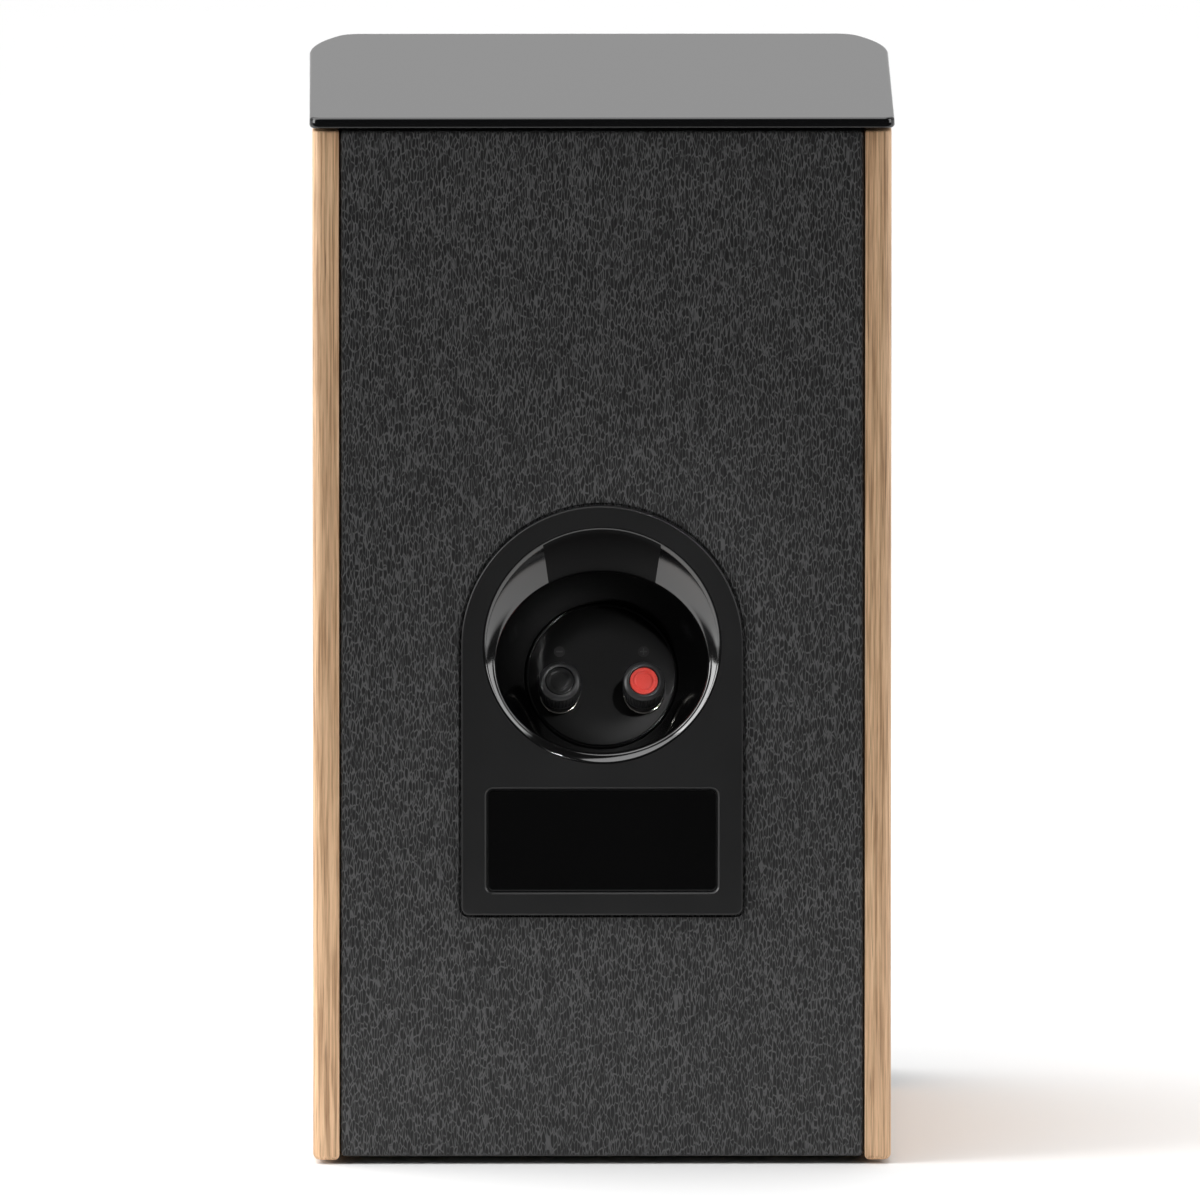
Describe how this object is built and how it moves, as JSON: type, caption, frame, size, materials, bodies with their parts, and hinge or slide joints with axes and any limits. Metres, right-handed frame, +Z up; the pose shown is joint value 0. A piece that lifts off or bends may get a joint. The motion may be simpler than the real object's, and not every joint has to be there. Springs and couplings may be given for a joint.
{
  "type": "bookshelf speaker",
  "caption": "Two-way bookshelf speaker: oak and leatherette cabinet, glass top, slot port, and a scooped rear cup with red and black binding posts that unscrew.",
  "frame": {"origin": "on the surface that the feet stand on, at the middle of the bounding box", "axes": "+Z up, -Y out of the front where the drivers face, +Y out of the back with the terminals, +X to the right seen from the front"},
  "size_m": [0.2222, 0.262, 0.4018],
  "materials": {
    "oak": "satin",
    "leatherette": "matte",
    "board_core": "matte",
    "black_glass": "gloss",
    "satin_black": "satin",
    "gloss_black": "gloss",
    "black_rubber": "matte",
    "steel": "satin",
    "nickel": "gloss",
    "knob_black": "satin",
    "plug_red": "satin",
    "plug_black": "satin",
    "cone_paper": "matte",
    "dust_cap": "satin",
    "dome_cloth": "matte",
    "spider_cloth": "matte",
    "copper": "satin",
    "ferrite": "matte",
    "neodymium": "gloss",
    "circuit_board": "matte",
    "capacitor_film": "satin",
    "wadding": "matte",
    "lead_sheath": "satin"
  },
  "bodies": {
    "cabinet": {"left_side_panel": "oak", "right_side_panel": "oak", "top_panel": "board_core", "bottom_panel": "board_core", "rear_panel": "leatherette", "front_baffle": "leatherette", "window_brace": "board_core", "glass_top": "black_glass", "glass_bond_tape": "black_rubber", "terminal_cup": "satin_black", "terminal_gasket": "black_rubber", "rating_label": "gloss_black", "woofer_basket": "satin_black", "woofer_gasket": "black_rubber", "woofer_trim_ring": "satin_black", "woofer_surround": "black_rubber", "woofer_spider": "spider_cloth", "woofer_top_plate": "steel", "woofer_magnet": "ferrite", "woofer_yoke": "steel", "tweeter_faceplate": "satin_black", "tweeter_surround": "black_rubber", "tweeter_magnet": "neodymium", "tweeter_yoke": "steel", "port_duct": "satin_black", "crossover_board": "circuit_board", "crossover_inductor": "copper", "crossover_capacitor": "capacitor_film", "damping_wadding": "wadding", "woofer_lead": "lead_sheath", "tweeter_lead": "lead_sheath", "foot_1": "black_rubber", "woofer_screw_1": "steel", "tweeter_screw_1": "steel", "foot_2": "black_rubber", "woofer_screw_2": "steel", "tweeter_screw_2": "steel", "foot_3": "black_rubber", "woofer_screw_3": "steel", "tweeter_screw_3": "steel", "foot_4": "black_rubber", "woofer_screw_4": "steel", "tweeter_screw_4": "steel", "red_post_stud": "nickel", "red_post_collar": "satin_black", "red_post_nut": "nickel", "black_post_stud": "nickel", "black_post_collar": "satin_black", "black_post_nut": "nickel"},
    "cone_assembly": {"woofer_cone": "cone_paper", "woofer_dust_cap": "dust_cap", "woofer_voice_coil": "copper"},
    "dome_assembly": {"tweeter_dome": "dome_cloth", "tweeter_voice_coil": "copper"},
    "red_clamp": {"red_clamp_ring": "nickel"},
    "red_knob_body": {"red_knob": "knob_black"},
    "red_plug_body": {"red_dust_plug": "plug_red"},
    "black_clamp": {"black_clamp_ring": "nickel"},
    "black_knob_body": {"black_knob": "knob_black"},
    "black_plug_body": {"black_dust_plug": "plug_black"}
  },
  "joints": [
    {"name": "cone_travel", "type": "slide", "parent": "cabinet", "child": "cone_assembly", "axis": [0, -1, 0], "range_m": [-0.005, 0.005], "stiffness_N_per_m": 1000, "deforming": ["woofer_surround", "woofer_spider"]},
    {"name": "dome_travel", "type": "slide", "parent": "cabinet", "child": "dome_assembly", "axis": [0, -1, 0], "range_m": [-0.0004, 0.0004], "stiffness_N_per_m": 100, "deforming": ["tweeter_surround"]},
    {"name": "red_clamp_slide", "type": "slide", "parent": "cabinet", "child": "red_clamp", "axis": [0, 0.8988, 0.4384], "range_m": [0, 0.005]},
    {"name": "red_knob_turn", "type": "hinge", "parent": "red_clamp", "child": "red_knob_body", "pos_m": [-0.016, 0.10011, 0.17631], "axis": [0, 0.8988, 0.4384], "range_deg": [0, 1800]},
    {"name": "red_plug_pull", "type": "slide", "parent": "red_knob_body", "child": "red_plug_body", "axis": [0, 0.8988, 0.4384], "range_m": [0, 0.02]},
    {"name": "black_clamp_slide", "type": "slide", "parent": "cabinet", "child": "black_clamp", "axis": [0, 0.8988, 0.4384], "range_m": [0, 0.005]},
    {"name": "black_knob_turn", "type": "hinge", "parent": "black_clamp", "child": "black_knob_body", "pos_m": [0.016, 0.10011, 0.17631], "axis": [0, 0.8988, 0.4384], "range_deg": [0, 1800]},
    {"name": "black_plug_pull", "type": "slide", "parent": "black_knob_body", "child": "black_plug_body", "axis": [0, 0.8988, 0.4384], "range_m": [0, 0.02]}
  ],
  "couplings": [
    {"joint": "red_knob_turn", "follows": "red_clamp_slide", "rad_per_m": 6283.2},
    {"joint": "black_knob_turn", "follows": "black_clamp_slide", "rad_per_m": 6283.2}
  ]
}
